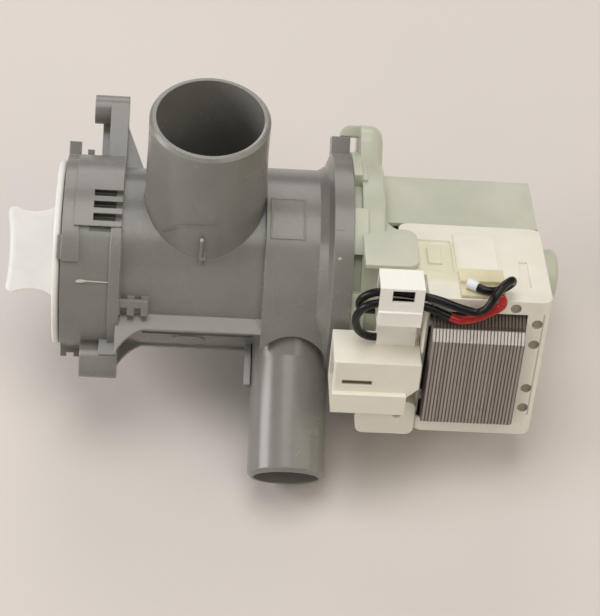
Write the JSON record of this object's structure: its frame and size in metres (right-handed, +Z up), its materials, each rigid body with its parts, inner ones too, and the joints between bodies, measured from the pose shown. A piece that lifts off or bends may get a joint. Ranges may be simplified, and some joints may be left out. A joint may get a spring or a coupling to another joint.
{
  "type": "washer drain pump",
  "caption": "Washing machine drain pump: grey pump housing with sump inlet, drain outlet and twist-out lint filter, magnet-rotor motor with a laminated core, and its lead connector.",
  "frame": {"origin": "centre of the bounding box's bottom, on the surface the pump lies on", "axes": "+X along the pump from the filter cap to the motor, +Y away from the outlet's side, +Z up; the pump axis dips 8.45 degrees towards the motor as it lies"},
  "size_m": [0.2183, 0.1464, 0.1315],
  "materials": {
    "housing_grey": "moulded grey polypropylene, satin",
    "cap_white": "white moulded plastic",
    "strainer_white": "white moulded plastic",
    "seal_black": "black rubber",
    "impeller_white": "white moulded plastic",
    "steel": "ground steel",
    "ferrite": "dark grey ferrite",
    "bearing_bronze": "sintered bronze",
    "flange_green": "pale greenish plastic",
    "lamination_steel": "stacked electrical steel",
    "bobbin_white": "natural white plastic",
    "winding_copper": "enamelled copper wire",
    "cover_cream": "cream moulded plastic",
    "block_yellow": "pale yellow plastic",
    "tinned_brass": "tinned brass",
    "lead_black": "black insulation",
    "lead_red": "red insulation",
    "ferrule_white": "white sleeve"
  },
  "bodies": {
    "housing": {"pump_housing": "housing_grey", "front_thrust_washer": "steel", "rear_thrust_washer": "steel", "front_bearing": "bearing_bronze", "rear_bearing": "bearing_bronze", "rear_bearing_mount": "seal_black", "shaft_seal": "seal_black", "bearing_block": "flange_green", "motor_flange": "flange_green", "flange_seal": "seal_black", "stator_shell": "flange_green", "lamination_stack": "lamination_steel", "core_rivets": "steel", "upper_bobbin": "bobbin_white", "lower_bobbin": "bobbin_white", "upper_winding": "winding_copper", "lower_winding": "winding_copper", "coil_cover": "cover_cream", "terminal_block": "block_yellow", "lead_terminals": "tinned_brass", "connector_housing": "cover_cream", "connector_pins": "tinned_brass", "lead_clip": "cover_cream", "upper_lead": "lead_black", "lower_lead": "lead_black", "red_lead": "lead_red", "lead_ferrule": "ferrule_white"},
    "rotor": {"rotor_shaft": "steel", "magnet_carrier": "bobbin_white", "rotor_magnet": "ferrite", "impeller_driver": "impeller_white"},
    "impeller": {"impeller": "impeller_white"},
    "filter_carrier": {"filter_seal": "seal_black"},
    "filter": {"filter_cap": "cap_white", "filter_strainer": "strainer_white"}
  },
  "joints": [
    {"name": "rotor_spin", "type": "hinge", "parent": "housing", "child": "rotor", "pos_m": [0.06945, 0.0119, 0.03684], "axis": [0.9891, 0, -0.1469], "continuous": true},
    {"name": "impeller_lag", "type": "hinge", "parent": "rotor", "child": "impeller", "pos_m": [0.00614, 0.0119, 0.04625], "axis": [0.9891, 0, -0.1469], "range_deg": [-96, 96]},
    {"name": "filter_withdraw", "type": "slide", "parent": "housing", "child": "filter_carrier", "axis": [-0.9891, 0, 0.1469], "range_m": [0, 0.075]},
    {"name": "filter_turn", "type": "hinge", "parent": "filter_carrier", "child": "filter", "pos_m": [-0.07892, 0.0119, 0.05888], "axis": [-0.9891, 0, 0.1469], "range_deg": [0, 60]}
  ]
}
